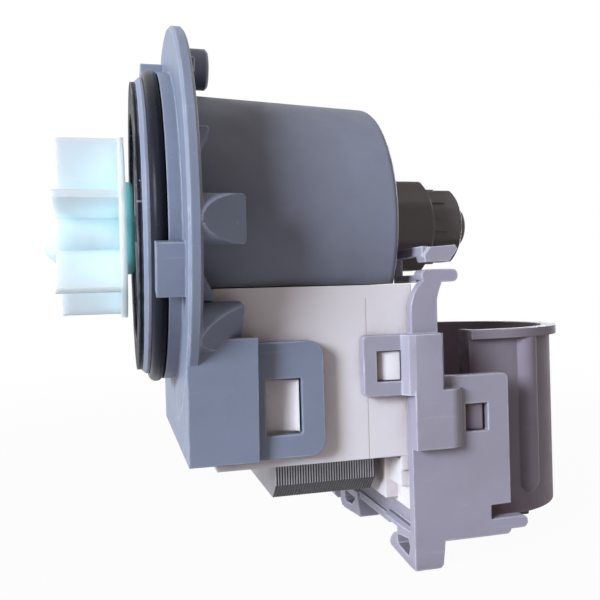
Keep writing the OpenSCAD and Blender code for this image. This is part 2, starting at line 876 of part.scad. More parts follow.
// Raised pads whose front and rear edges are rounded off
module cheek_pads() {
    translate([0, 0, tab_z[0]]) linear_extrude(tab_z[1] - tab_z[0]) polygon([
        [cheek_x1 - 2, cheek_y1 + cut],
        [cheek_x1 - 1.8, cheek_y1 - pad_t / 4],
        [cheek_x1 - 1, pad_y + pad_t / 4],
        [cheek_x1 + 0.3, pad_y],
        [cheek_x1 + 6, pad_y],
        [cheek_x1 + 6.4, pad_y + 0.4],
        [cheek_x1 + 6.4, cheek_y1 + cut]
    ]);
    translate([0, 0, -47.8]) linear_extrude(12) polygon(concat(
        [[cheek_x1, cheek_y1 + cut], [cheek_x1, pad_y]],
        arc([cheek_x1 + 7.8, pad_y + 3.4], 3.4, -90, -15, 5),
        [[cheek_x1 + 11.1, cheek_y1 + cut]]
    ));
}

// Two fingers that hold a wire, on a post at the near side
module wire_fingers() {
    along_y(cheek_y1, cheek_y1 + 4) {
        round_rect([cheek_x1 + 3, -13.9], [cheek_x1 + 11, -11.3], 1.2);
        polygon([
            [cheek_x1 + 4, -9.8],
            [cheek_x1 + 3.6, -8.6],
            [cheek_x1 + 5, -6.7],
            [cheek_x1 + 10.6, -6.3],
            [cheek_x1 + 11.2, -7.2],
            [cheek_x1 + 9.2, -9.8]
        ]);
    }
    block([cheek_x1 + 3.6, cheek_y1 + 1, -13.9], [cheek_x1 + 5.2, finger_post_y, -12.3]);
    block([cheek_x1 + 3.6, cheek_y1 + 1, -8.5], [cheek_x1 + 5.2, finger_post_y, -6.5]);
    block([cheek_x1 + 3.6, finger_post_y - 1.4, -13.5], [cheek_x1 + 5.2, finger_post_y, -6.5]);
}

// A closed loop under the near tray and one under the far tray, in Y and Z
module near_loop() {
    translate([0, 0, tray_z]) along_x(cheek_x1, cheek_x1 + loop_len) difference() {
        polygon([
            [cheek_y1, 1], [cheek_y1, -6.5], [-26.6, -6.5], [-15.7, -5.5], [-14.9, -4.8], [-15.4, -3.8],
            [-17, -2.3], [-19.3, -1.3], [-19.3, 0.1], [-26, 1]
        ]);
        polygon([[-19.3, -1.8], [-25.4, -0.9], [-26.2, -2.4], [-25.4, -4.6], [-19.4, -3.8]]);
    }
}

module far_loop() {
    translate([0, 0, tray_z]) along_x(cheek_x1, cheek_x1 + loop_len) difference() {
        polygon([[7.4, 0.1], [7.1, -1.6], [5, -5.4], [18, -6.6], [20, -6.4], [21, -5.4], [21, 0.1]]);
        polygon([[8.4, -1.6], [11.5, -4], [16.6, -4.3], [17.4, -3.4], [17.4, -1.6]]);
    }
}

module housing_trays() {
    along_y(cheek_y2 - cut, tray_split_y) polygon([
        [cheek_x1, tray_z - 0.2],
        [cheek_x1, tray_z + 0.5],
        [cheek_x1 + 0.8, tray_z + 1.2],
        [housing_x2, tray_z + 1.2],
        [housing_x2, tray_z - 0.2]
    ]);
    block([cheek_x1 + 1, tray_split_y - cut, tray_z - 1.6], [housing_x2, -cheek_y2 + cut, tray_z + 0.2]);
}

module terminal_housing() color("#b4b2cc") {
    difference() {
        union() {
            both_sides() {
                along_y(cheek_y1, cheek_y2) cheek_outline();
                cheek_pads();
            }
            block([housing_x1, cheek_y1 + cut, tray_z], [housing_x2, -cheek_y1 - cut, rear_wall_top]);
            housing_trays();
            wire_fingers();
            near_loop();
            far_loop();
        }
        both_sides() blade_slot();
    }
}

// Connector shroud behind the terminals

module shroud_form(r, z1, z2) {
    translate([shroud_x, 0, z1]) cylinder(h = z2 - z1, r = r);
    block([housing_x2, -r, z1], [shroud_x, r, z2]);
}

// A latch on the side of the shroud that sits in the window of a cheek
module shroud_latch() {
    x = [cheek_window_x[0] + fit_gap, cheek_window_x[1] - 4 * fit_gap];
    z = [cheek_window_z[0] + fit_gap, cheek_window_z[1] - fit_gap];
    block([x[0], cheek_y2 + fit_gap, z[0]], [x[1], -shroud_in_r - shroud_wall / 2, z[1]]);
    latch_ramp(x, z, cheek_y2 + fit_gap, 1.4, false);
}

module connector_shroud() color("#8e8a98") {
    difference() {
        union() {
            shroud_form(shroud_r, shroud_low, shroud_top);
            shroud_form(shroud_r + 1.5, shroud_top - 2, shroud_top);
            translate([shroud_rib_x, -shroud_r + 3, shroud_low + 7]) {
                cylinder(h = shroud_h - 8, r = 3.6);
                sphere(3.6);
            }
            translate([shroud_rib_x - 1, -shroud_r + 2, shroud_low - 0.6]) cylinder(h = 8, r = 1.4);
        }
        shroud_form(shroud_in_r, shroud_low + shroud_wall, shroud_top + 1);
        block([0, -shroud_in_r, blade_z - 4], [housing_x2 + 1, shroud_in_r, shroud_top + 1]);
        block([0, -flange_r, cheek_top - 3], [shroud_mouth_x, -shroud_in_r + cut, shroud_top + 1]);
    }
    block([shroud_mouth_x, -shroud_r + 0.5, cheek_top - 3],
          [shroud_mouth_x + shroud_wall, -shroud_r + 5, shroud_top]);
    block([housing_x2, -shroud_r, shroud_low], [housing_x2 + shroud_wall, shroud_r, blade_z - 4]);
    both_sides() shroud_latch();
}

pump_head();
main_o_ring();
front_seal_ring();
bearing_cover();
can_seal();
motor_drum();
rotor_can();
front_bearing();
front_bearing_mount();
rear_bearing();
rear_bearing_mount();
shaft_seal();
rotor_shaft();
rotor_sleeve();
rotor_magnet();
thrust_washers();
drive_dog();
impeller();
coupling_cap();
coupling_dampers();
stator_core();
near_bobbin();
far_bobbin();
near_winding();
far_winding();
coil_cover();
terminal_blades();
terminal_housing();
connector_shroud();
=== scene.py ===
import json
import math
import bmesh
import bpy
from mathutils import Matrix, Vector


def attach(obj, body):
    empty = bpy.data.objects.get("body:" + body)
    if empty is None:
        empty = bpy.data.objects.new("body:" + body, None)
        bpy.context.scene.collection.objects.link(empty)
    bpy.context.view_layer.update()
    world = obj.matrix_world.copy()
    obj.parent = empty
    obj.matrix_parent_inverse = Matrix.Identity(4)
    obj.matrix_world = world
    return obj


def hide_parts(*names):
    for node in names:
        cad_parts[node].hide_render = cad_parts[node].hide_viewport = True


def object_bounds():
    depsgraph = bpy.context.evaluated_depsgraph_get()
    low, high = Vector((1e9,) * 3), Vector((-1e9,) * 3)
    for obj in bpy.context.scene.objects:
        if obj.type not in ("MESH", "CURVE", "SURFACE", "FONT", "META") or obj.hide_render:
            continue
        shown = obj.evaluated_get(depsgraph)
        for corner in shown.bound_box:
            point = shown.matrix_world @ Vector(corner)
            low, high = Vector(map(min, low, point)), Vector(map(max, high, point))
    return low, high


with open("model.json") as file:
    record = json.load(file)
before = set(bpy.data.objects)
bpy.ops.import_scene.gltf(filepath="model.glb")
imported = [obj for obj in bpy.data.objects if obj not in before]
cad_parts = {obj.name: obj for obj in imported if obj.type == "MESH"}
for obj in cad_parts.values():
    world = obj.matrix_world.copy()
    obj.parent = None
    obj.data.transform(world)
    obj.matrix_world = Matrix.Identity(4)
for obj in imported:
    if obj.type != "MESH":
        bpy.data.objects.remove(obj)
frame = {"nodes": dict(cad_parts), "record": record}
nodes = frame["nodes"]
cadLow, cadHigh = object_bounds()
print("frame loaded,", len(nodes), "solids")


# A colour given as the 0 to 255 numbers of a picture, as the linear colour of a material
def tone(red, green, blue):
    values = [c / 255 for c in (red, green, blue)]
    return tuple(((v + 0.055) / 1.055) ** 2.4 for v in values) + (1.0,)


# Camera, at the angle of the photograph

cameraPlan = {
    "azimuth": -14.5,
    "elevation": 0.5,
    "roll": -1.6,
    "place": (-0.0122, -0.1635, -0.0156),
    "lens": 42.78,
    "sensor": 36.0,
    "nearest": 0.005,
}


def addCamera(plan):
    azimuth = math.radians(plan["azimuth"])
    elevation = math.radians(plan["elevation"])
    roll = math.radians(plan["roll"])
    back = Vector((
        math.sin(azimuth) * math.cos(elevation),
        -math.cos(azimuth) * math.cos(elevation),
        math.sin(elevation),
    ))
    right = Vector((math.cos(azimuth), math.sin(azimuth), 0))
    up = right.cross(-back)
    rolledRight = math.cos(roll) * right + math.sin(roll) * up
    rolledUp = math.cos(roll) * up - math.sin(roll) * right
    turn = Matrix((rolledRight, rolledUp, back)).transposed()
    data = bpy.data.cameras.new("photoCamera")
    data.lens = plan["lens"]
    data.sensor_width = plan["sensor"]
    data.clip_start = plan["nearest"]
    camera = bpy.data.objects.new("photoCamera", data)
    bpy.context.scene.collection.objects.link(camera)
    camera.matrix_world = Matrix.Translation(plan["place"]) @ turn.to_4x4()
    bpy.context.scene.camera = camera


addCamera(cameraPlan)
print("camera set")


# Soft studio light and a pale floor

lampAim = (0.02, 0, -0.02)
lampPlan = {
    "leftKey": {"place": (-0.67, -0.43, 0.23), "size": 0.34, "watts": 11.2,
                "colour": (0.83, 0.89, 1.0)},
    "topSoft": {"place": (0.25, -0.35, 0.75), "size": 0.6, "watts": 0.8,
                "colour": (1.0, 0.95, 0.94)},
    "rearGlow": {"place": (0.62, 0.50, 0.16), "size": 0.5, "watts": 3.6,
                 "colour": (0.95, 0.96, 1.0)},
}


def addLamp(name, plan):
    data = bpy.data.lights.new(name, "AREA")
    data.shape = "DISK"
    data.size = plan["size"]
    data.energy = plan["watts"]
    data.color = plan["colour"]
    lamp = bpy.data.objects.new(name, data)
    bpy.context.scene.collection.objects.link(lamp)
    lamp.location = plan["place"]
    aim = Vector(lampAim) - Vector(plan["place"])
    lamp.rotation_euler = aim.to_track_quat("-Z", "Y").to_euler()


for lampName, lampSettings in lampPlan.items():
    addLamp(lampName, lampSettings)

worldPlan = {"colour": (1.0, 0.73, 0.63, 1.0), "strength": 0.125}


# 1 for the rays that show the white background, 0 for the rays that light the object
def backgroundShare(tree):
    path = tree.nodes.new("ShaderNodeLightPath")
    first = tree.nodes.new("ShaderNodeMath")
    second = tree.nodes.new("ShaderNodeMath")
    for node in (first, second):
        node.operation = "MAXIMUM"
    tree.links.new(path.outputs["Is Camera Ray"], first.inputs[0])
    tree.links.new(path.outputs["Is Glossy Ray"], first.inputs[1])
    tree.links.new(first.outputs[0], second.inputs[0])
    tree.links.new(path.outputs["Is Transmission Ray"], second.inputs[1])
    return second.outputs[0]


def addWorld(plan):
    world = bpy.data.worlds.new("studioWorld")
    world.use_nodes = True
    tree = world.node_tree
    tree.nodes.clear()
    out = tree.nodes.new("ShaderNodeOutputWorld")
    mix = tree.nodes.new("ShaderNodeMixShader")
    light = tree.nodes.new("ShaderNodeBackground")
    seen = tree.nodes.new("ShaderNodeBackground")
    light.inputs["Color"].default_value = plan["colour"]
    light.inputs["Strength"].default_value = plan["strength"]
    seen.inputs["Color"].default_value = (1, 1, 1, 1)
    seen.inputs["Strength"].default_value = 1.0
    tree.links.new(backgroundShare(tree), mix.inputs[0])
    tree.links.new(light.outputs[0], mix.inputs[1])
    tree.links.new(seen.outputs[0], mix.inputs[2])
    tree.links.new(mix.outputs[0], out.inputs["Surface"])
    bpy.context.scene.world = world


addWorld(worldPlan)

floorPlan = {
    "half": 3.0, "squares": 4, "drop": 0.0004, "colour": tone(196, 190, 187),
    "seenShare": 0.96, "fadeFrom": 0.10, "fadeTo": 0.5,
}


# Matt to the light, and white to the rays that show it, more so away from the object
def floorMaterial(plan):
    material = bpy.data.materials.new("paleFloor")
    material.use_nodes = True
    tree = material.node_tree
    tree.nodes.clear()
    out = tree.nodes.new("ShaderNodeOutputMaterial")
    mix = tree.nodes.new("ShaderNodeMixShader")
    matt = tree.nodes.new("ShaderNodeBsdfDiffuse")
    glow = tree.nodes.new("ShaderNodeEmission")
    share = tree.nodes.new("ShaderNodeMath")
    share.operation = "MULTIPLY"
    place = tree.nodes.new("ShaderNodeTexCoord")
    away = tree.nodes.new("ShaderNodeVectorMath")
    away.operation = "LENGTH"
    fade = tree.nodes.new("ShaderNodeMapRange")
    fade.interpolation_type = "SMOOTHSTEP"
    fade.inputs["From Min"].default_value = plan["fadeFrom"]
    fade.inputs["From Max"].default_value = plan["fadeTo"]
    fade.inputs["To Min"].default_value = plan["seenShare"]
    fade.inputs["To Max"].default_value = 1.0
    tree.links.new(place.outputs["Object"], away.inputs[0])
    tree.links.new(away.outputs["Value"], fade.inputs["Value"])
    tree.links.new(fade.outputs[0], share.inputs[1])
    matt.inputs["Color"].default_value = plan["colour"]
    tree.links.new(backgroundShare(tree), share.inputs[0])
    tree.links.new(share.outputs[0], mix.inputs[0])
    tree.links.new(matt.outputs[0], mix.inputs[1])
    tree.links.new(glow.outputs[0], mix.inputs[2])
    tree.links.new(mix.outputs[0], out.inputs["Surface"])
    return material


def addFloor(plan):
    mesh = bpy.data.meshes.new("studioFloor")
    shape = bmesh.new()
    bmesh.ops.create_grid(shape, x_segments=plan["squares"], y_segments=plan["squares"],
                          size=plan["half"])
    bmesh.ops.translate(shape, verts=shape.verts, vec=(0, 0, cadLow.z - plan["drop"]))
    shape.to_mesh(mesh)
    shape.free()
    floor = bpy.data.objects.new("studioFloor", mesh)
    bpy.context.scene.collection.objects.link(floor)
    mesh.materials.append(floorMaterial(plan))


addFloor(floorPlan)
bpy.context.scene.view_settings.view_transform = "Standard"
print("light and floor set")


# Effects that several finishes share

def startGroup(name, inputs, outputs):
    group = bpy.data.node_groups.new(name, "ShaderNodeTree")
    for label, kind, value in inputs:
        socket = group.interface.new_socket(name=label, in_out="INPUT", socket_type=kind)
        socket.default_value = value
    for label, kind in outputs:
        group.interface.new_socket(name=label, in_out="OUTPUT", socket_type=kind)
    return group, group.nodes.new("NodeGroupInput"), group.nodes.new("NodeGroupOutput")


def mathNode(tree, operation, first, second, clamp=False):
    node = tree.nodes.new("ShaderNodeMath")
    node.operation = operation
    node.use_clamp = clamp
    for place, value in enumerate((first, second)):
        if value is None:
            continue
        if isinstance(value, (int, float)):
            node.inputs[place].default_value = value
        else:
            tree.links.new(value, node.inputs[place])
    return node.outputs[0]


def mixColour(tree, share, first, second):
    node = tree.nodes.new("ShaderNodeMix")
    node.data_type = "RGBA"
    for place, value in ((0, share), (6, first), (7, second)):
        socket = node.inputs[place]
        if isinstance(value, (int, float, tuple)):
            socket.default_value = value
        else:
            tree.links.new(value, socket)
    return node.outputs[2]


def noiseNode(tree, vector, scale, detail, roughness=0.5):
    node = tree.nodes.new("ShaderNodeTexNoise")
    node.inputs["Detail"].default_value = detail
    node.inputs["Roughness"].default_value = roughness
    if isinstance(scale, (int, float)):
        node.inputs["Scale"].default_value = scale
    else:
        tree.links.new(scale, node.inputs["Scale"])
    tree.links.new(vector, node.inputs["Vector"])
    return node.outputs[0]


def stretchNode(tree, stretch, turn=(0, 0, 0)):
    place = tree.nodes.new("ShaderNodeTexCoord")
    node = tree.nodes.new("ShaderNodeMapping")
    node.inputs["Scale"].default_value = stretch
    node.inputs["Rotation"].default_value = turn
    tree.links.new(place.outputs["Object"], node.inputs["Vector"])
    return node.outputs[0]


def rampNode(tree, value, low, high):
    node = tree.nodes.new("ShaderNodeMapRange")
    node.interpolation_type = "SMOOTHSTEP"
    node.inputs["From Min"].default_value = low
    node.inputs["From Max"].default_value = high
    tree.links.new(value, node.inputs["Value"])
    return node.outputs[0]


def noiseMask(tree, vector, plan, roughness):
    noise = noiseNode(tree, vector, plan["size"], plan["detail"], roughness)
    return rampNode(tree, noise, plan["from"], plan["to"])


grainPlan = {"detail": 3.0, "roughness": 0.62, "waveSize": 70.0, "waveDetail": 2.0}


# Spark-eroded mould grain over a slow waviness
def makeMouldGrain(plan):
    group, start, end = startGroup(
        "mouldGrain",
        [("Grain Size", "NodeSocketFloat", 2200.0), ("Grain Depth", "NodeSocketFloat", 0.5),
         ("Wave Depth", "NodeSocketFloat", 1.0)],
        [("Height", "NodeSocketFloat")],
    )
    plain = stretchNode(group, (1, 1, 1))
    grain = noiseNode(group, plain, start.outputs["Grain Size"], plan["detail"], plan["roughness"])
    wave = noiseNode(group, plain, plan["waveSize"], plan["waveDetail"])
    fine = mathNode(group, "MULTIPLY", grain, start.outputs["Grain Depth"])
    slow = mathNode(group, "MULTIPLY", wave, start.outputs["Wave Depth"])
    group.links.new(mathNode(group, "ADD", fine, slow), end.inputs["Height"])
    return group


edgePlan = {
    "samples": 4, "rounding": 0.00035, "width": 0.0006, "gain": 8.0,
    "creviceSamples": 6, "creviceFrom": 0.16, "creviceTo": 0.78,
}


# Rounded edge normal, an edge mask for worn edges and painted highlights, and a crevice mask for
# painted shade and grime
def makeEdges(plan):
    group, start, end = startGroup(
        "edgesAndCrevices",
        [("Crevice Reach", "NodeSocketFloat", 0.006)],
        [("Normal", "NodeSocketVector"), ("Edge", "NodeSocketFloat"),
         ("Crevice", "NodeSocketFloat")],
    )
    rounded = group.nodes.new("ShaderNodeBevel")
    rounded.samples = plan["samples"]
    rounded.inputs["Radius"].default_value = plan["rounding"]
    wide = group.nodes.new("ShaderNodeBevel")
    wide.samples = plan["samples"]
    wide.inputs["Radius"].default_value = plan["width"]
    surface = group.nodes.new("ShaderNodeNewGeometry")
    dot = group.nodes.new("ShaderNodeVectorMath")
    dot.operation = "DOT_PRODUCT"
    group.links.new(wide.outputs[0], dot.inputs[0])
    group.links.new(surface.outputs["True Normal"], dot.inputs[1])
    edge = mathNode(group, "SUBTRACT", 1.0, dot.outputs["Value"])
    hollow = group.nodes.new("ShaderNodeAmbientOcclusion")
    hollow.samples = plan["creviceSamples"]
    group.links.new(start.outputs["Crevice Reach"], hollow.inputs["Distance"])
    crevice = mathNode(group, "SUBTRACT", 1.0, hollow.outputs["AO"])
    group.links.new(rounded.outputs[0], end.inputs["Normal"])
    group.links.new(mathNode(group, "MULTIPLY", edge, plan["gain"], True), end.inputs["Edge"])
    group.links.new(rampNode(group, crevice, plan["creviceFrom"], plan["creviceTo"]),
                    end.inputs["Crevice"])
    return group


handlingPlan = {
    "cloud": {"size": 46.0, "detail": 5.0, "from": 0.3, "to": 0.75},
    "patch": {"size": 190.0, "detail": 4.0, "from": 0.3, "to": 0.7},
    "dust": {"size": 900.0, "detail": 2.0, "from": 0.70, "to": 0.78},
    "hairs": [
        {"stretch": (60, 1300, 900), "turn": (0.3, 0.2, 0.5), "from": 0.69, "to": 0.74},
        {"stretch": (1200, 80, 900), "turn": (0.5, -0.4, 0.3), "from": 0.70, "to": 0.75},
    ],
    "hairDetail": 2.0, "shadeAndGrimeLeast": 0.5, "wearAndHighlightLeast": 0.25,
    "roughPatch": 0.10, "roughGrime": 0.2, "roughDust": 0.3,
}


# Colour of handled plastic: mottle, painted shade and grime in corners, worn edges with painted
# highlights, dust and hairline scratches
def makeHandling(plan):
    group, start, end = startGroup(
        "handledColour",
        [("Colour", "NodeSocketColor", (0.5, 0.5, 0.5, 1)),
         ("Shade", "NodeSocketColor", (0.3, 0.3, 0.3, 1)),
         ("Worn And Highlit", "NodeSocketColor", (0.8, 0.8, 0.8, 1)), ("Edge", "NodeSocketFloat", 0.0),
         ("Crevice", "NodeSocketFloat", 0.0), ("Mottle", "NodeSocketFloat", 0.3),
         ("Shade And Grime", "NodeSocketFloat", 0.4), ("Wear And Highlight", "NodeSocketFloat", 0.4),
         ("Specks", "NodeSocketFloat", 0.1), ("Scratches", "NodeSocketFloat", 0.1),
         ("Gloss", "NodeSocketFloat", 0.45)],
        [("Colour", "NodeSocketColor"), ("Roughness", "NodeSocketFloat"),
         ("Marks", "NodeSocketFloat")],
    )
    plain = stretchNode(group, (1, 1, 1))
    cloud = noiseMask(group, plain, plan["cloud"], 0.6)
    colour = mixColour(group, mathNode(group, "MULTIPLY", cloud, start.outputs["Mottle"]),
                       start.outputs["Colour"], start.outputs["Shade"])
    patch = noiseMask(group, plain, plan["patch"], 0.6)
    # The crevice mask darkens the colour toward the shade tone: painted shade in corners and beside
    # raised parts, with some grime
    shadeAndGrime = mathNode(group, "MULTIPLY", start.outputs["Crevice"], start.outputs["Shade And Grime"])
    shadeAndGrime = mathNode(group, "MULTIPLY", shadeAndGrime, mathNode(group, "ADD", patch, plan["shadeAndGrimeLeast"]))
    colour = mixColour(group, shadeAndGrime, colour, start.outputs["Shade"])
    # Edges turn to the lighter tone: partly wear, partly painted highlight along rounded edges
    wornAndHighlit = mathNode(group, "MULTIPLY", start.outputs["Edge"], start.outputs["Wear And Highlight"])
    wornAndHighlit = mathNode(group, "MULTIPLY", wornAndHighlit, mathNode(group, "ADD", patch, plan["wearAndHighlightLeast"]), True)
    colour = mixColour(group, wornAndHighlit, colour, start.outputs["Worn And Highlit"])
    dust = noiseMask(group, plain, plan["dust"], 0.5)
    dust = mathNode(group, "MULTIPLY", dust, start.outputs["Specks"])
    colour = mixColour(group, dust, colour, start.outputs["Worn And Highlit"])
    first, second = [
        rampNode(group, noiseNode(group, stretchNode(group, hair["stretch"], hair["turn"]),
                                  1.0, plan["hairDetail"]), hair["from"], hair["to"])
        for hair in plan["hairs"]
    ]
    hair = mathNode(group, "MULTIPLY", mathNode(group, "MAXIMUM", first, second),
                    start.outputs["Scratches"])
    colour = mixColour(group, hair, colour, start.outputs["Worn And Highlit"])
    rough = start.outputs["Gloss"]
    rough = mathNode(group, "ADD", rough, mathNode(group, "MULTIPLY", patch, plan["roughPatch"]))
    rough = mathNode(group, "ADD", rough, mathNode(group, "MULTIPLY", shadeAndGrime, plan["roughGrime"]))
    duller = mathNode(group, "MULTIPLY", dust, plan["roughDust"])
    rough = mathNode(group, "ADD", rough, duller, True)
    group.links.new(colour, end.inputs["Colour"])
    group.links.new(rough, end.inputs["Roughness"])
    group.links.new(mathNode(group, "SUBTRACT", 1.0, mathNode(group, "MAXIMUM", hair, dust)),
                    end.inputs["Marks"])
    return group


mouldGrain = makeMouldGrain(grainPlan)
edgesAndCrevices = makeEdges(edgePlan)
handledColour = makeHandling(handlingPlan)


def startMaterial(name):
    material = bpy.data.materials.new(name)
    material.use_nodes = True
    tree = material.node_tree
    shader = tree.nodes["Principled BSDF"]
    return material, tree, shader


def placeGroup(tree, group, settings):
    node = tree.nodes.new("ShaderNodeGroup")
    node.node_tree = group
    for label, value in settings.items():
        node.inputs[label].default_value = value
    return node


def addBump(tree, height, strength, distance, normal):
    bump = tree.nodes.new("ShaderNodeBump")
    bump.inputs["Strength"].default_value = strength
    bump.inputs["Distance"].default_value = distance
    tree.links.new(height, bump.inputs["Height"])
    tree.links.new(normal, bump.inputs["Normal"])
    return bump.outputs[0]


# A clear plastic lets part of the light through to what lies behind it
def letThrough(tree, shader, share, colour):
    path = tree.nodes.new("ShaderNodeLightPath")
    through = tree.nodes.new("ShaderNodeBsdfTransparent")
    mix = tree.nodes.new("ShaderNodeMixShader")
    through.inputs["Color"].default_value = colour
    tree.links.new(mathNode(tree, "MULTIPLY", path.outputs["Is Shadow Ray"], share), mix.inputs[0])
    tree.links.new(shader.outputs[0], mix.inputs[1])
    tree.links.new(through.outputs[0], mix.inputs[2])
    tree.links.new(mix.outputs[0], tree.nodes["Material Output"].inputs["Surface"])


def objectPlace(tree):
    place = tree.nodes.new("ShaderNodeTexCoord")
    apart = tree.nodes.new("ShaderNodeSeparateXYZ")
    tree.links.new(place.outputs["Object"], apart.inputs[0])
    return apart


# A hairline across X where two halves of the mould met
def mouldSeam(tree, plan):
    apart = objectPlace(tree)
    offset = mathNode(tree, "SUBTRACT", apart.outputs["X"], plan["at"])
    away = mathNode(tree, "ABSOLUTE", offset, None)
    line = rampNode(tree, away, plan["half"] * plan["outer"], plan["half"] * plan["inner"])
    below = rampNode(tree, apart.outputs["Z"], plan["top"] + plan["fade"], plan["top"])
    return mathNode(tree, "MULTIPLY", line, below)


def handledPaint(tree, look):
    edges = placeGroup(tree, edgesAndCrevices, {"Crevice Reach": look["reach"]})
    paint = placeGroup(tree, handledColour, {
        "Colour": look["colour"], "Shade": look["shade"], "Worn And Highlit": look["wornAndHighlit"],
        "Mottle": look["mottle"], "Shade And Grime": look["shadeAndGrime"], "Wear And Highlight": look["wearAndHighlight"],
        "Specks": look["specks"], "Scratches": look["scratches"], "Gloss": look["gloss"],
    })
    tree.links.new(edges.outputs["Edge"], paint.inputs["Edge"])
    tree.links.new(edges.outputs["Crevice"], paint.inputs["Crevice"])
    return edges, paint


# What a plastic has where its own settings say nothing else
usualPlastic = {
    "gloss": 0.45, "mottle": 0.3, "shadeAndGrime": 0.4, "wearAndHighlight": 0.4, "specks": 0.12, "scratches": 0.06,
    "reach": 0.006, "grainSize": 2200.0, "grain": 0.5, "wave": 1.0, "bump": 0.35,
    "relief": 0.00012, "marks": 0.4, "depth": 0.0, "depthColour": (1.0, 1.0, 1.0),
    "depthReach": 0.002, "shine": 0.5,
}


def plasticMaterial(name, look):
    material, tree, shader = startMaterial(name)
    edges, paint = handledPaint(tree, look)
    grain = placeGroup(tree, mouldGrain, {
        "Grain Size": look["grainSize"], "Grain Depth": look["grain"],
        "Wave Depth": look["wave"],
    })
    marks = mathNode(tree, "MULTIPLY", paint.outputs["Marks"], look["marks"])
    height = mathNode(tree, "ADD", grain.outputs["Height"], marks)
    colour = paint.outputs["Colour"]
    if "seam" in look:
        seam = mouldSeam(tree, look["seam"])
        darker = mathNode(tree, "MULTIPLY", seam, look["seam"]["dark"])
        deeper = mathNode(tree, "MULTIPLY", seam, look["seam"]["deep"])
        colour = mixColour(tree, darker, colour, look["shade"])
        height = mathNode(tree, "SUBTRACT", height, deeper)
    tree.links.new(colour, shader.inputs["Base Color"])
    tree.links.new(paint.outputs["Roughness"], shader.inputs["Roughness"])
    bump = addBump(tree, height, look["bump"], look["relief"], edges.outputs["Normal"])
    tree.links.new(bump, shader.inputs["Normal"])
    shader.inputs["Subsurface Weight"].default_value = look["depth"]
    shader.inputs["Subsurface Radius"].default_value = look["depthColour"]
    shader.inputs["Subsurface Scale"].default_value = look["depthReach"]
    shader.inputs["Specular IOR Level"].default_value = look["shine"]
    if "clear" in look:
        letThrough(tree, shader, look["clear"], look["clearColour"])
    return material


plasticLooks = {
    # Its strong edge setting paints bright edges, partly wear and partly painted highlight
    "headPlastic": {
        "colour": tone(124, 133, 152), "shade": tone(84, 88, 100), "wornAndHighlit": tone(190, 196, 208),
        "gloss": 0.40, "mottle": 0.25, "grain": 0.45, "wearAndHighlight": 0.7, "shine": 0.35,
    },
    "drumPlastic": {
        "colour": tone(130, 136, 152), "shade": tone(98, 94, 98), "wornAndHighlit": tone(160, 165, 178),
        "gloss": 0.44, "mottle": 0.3, "grain": 0.6, "wearAndHighlight": 0.3, "shine": 0.2,
    },
    "nosePlastic": {
        "colour": tone(120, 116, 116), "shade": tone(92, 87, 85), "wornAndHighlit": tone(136, 134, 132),
        "gloss": 0.46, "mottle": 0.4, "wearAndHighlight": 0.35, "shine": 0.2,
    },
    # Its brown shade tone and crevice settings paint brown shade in corners and beside raised parts
    "coverPlastic": {
        "colour": tone(228, 225, 228), "shade": tone(150, 122, 106),
        "wornAndHighlit": tone(240, 238, 240),
        "gloss": 0.42, "mottle": 0.10, "shadeAndGrime": 0.45, "reach": 0.010, "depth": 0.08,
        "wearAndHighlight": 0.2, "shine": 0.35,
        "seam": {
            "at": 0.037, "half": 0.00009, "inner": 0.6, "outer": 1.6, "top": -0.017,
            "fade": 0.0004, "dark": 0.45, "deep": 1.5,
        },
    },
    # Its strong edge setting paints bright edges, partly wear and partly painted highlight
    "housingPlastic": {
        "colour": tone(160, 157, 171), "shade": tone(112, 104, 112),
        "wornAndHighlit": tone(222, 222, 236),
        "gloss": 0.40, "mottle": 0.2, "shadeAndGrime": 0.6, "wearAndHighlight": 0.8, "depth": 0.05, "shine": 0.35,
    },
    # Its brown shade tone, with a wide crevice reach, paints brown shade across much of the shroud
    # wall
    "shroudPlastic": {
        "colour": tone(144, 137, 150), "shade": tone(94, 80, 77), "wornAndHighlit": tone(184, 178, 188),
        "gloss": 0.46, "mottle": 0.28, "shadeAndGrime": 0.8, "reach": 0.02, "wearAndHighlight": 0.3, "shine": 0.15,
    },
    "impellerPlastic": {
        "colour": tone(214, 234, 238), "shade": tone(178, 212, 222),
        "wornAndHighlit": tone(245, 252, 253),
        "gloss": 0.30, "mottle": 0.2, "shadeAndGrime": 0.35, "reach": 0.010, "depth": 0.9,
        "depthColour": (0.9, 1.0, 1.0), "depthReach": 0.009, "wearAndHighlight": 0.3, "specks": 0.05,
        "clear": 0.7, "clearColour": tone(224, 246, 250),
    },
    "tealPlastic": {
        "colour": tone(182, 226, 220), "shade": tone(146, 200, 196),
        "wornAndHighlit": tone(180, 232, 226),
        "gloss": 0.38, "depth": 0.9, "depthColour": (0.6, 1.0, 0.95), "depthReach": 0.006,
        "shadeAndGrime": 0.0, "mottle": 0.1, "clear": 0.3, "clearColour": tone(170, 236, 226),
    },
    "blackPlastic": {
        "colour": tone(30, 31, 36), "shade": tone(18, 18, 21), "wornAndHighlit": tone(120, 124, 132),
        "gloss": 0.26, "specks": 0.3, "scratches": 0.1, "shine": 0.3,
    },
    "sealRing": {
        "colour": tone(26, 27, 33), "shade": tone(15, 15, 19), "wornAndHighlit": tone(214, 218, 226),
        "gloss": 0.36, "specks": 0.9, "scratches": 0.3, "grainSize": 760.0, "grain": 2.2,
        "bump": 0.9, "shine": 0.04,
    },
    "blackRubber": {
        "colour": tone(32, 34, 42), "shade": tone(20, 21, 26), "wornAndHighlit": tone(92, 96, 106),
        "gloss": 0.25, "specks": 0.1, "scratches": 0.0, "grainSize": 1500.0, "grain": 0.5,
        "bump": 0.2, "shine": 0.08,
    },
    "naturalPlastic": {
        "colour": tone(232, 226, 210), "shade": tone(196, 186, 162),
        "wornAndHighlit": tone(246, 242, 232),
        "gloss": 0.40, "depth": 0.2,
    },
}


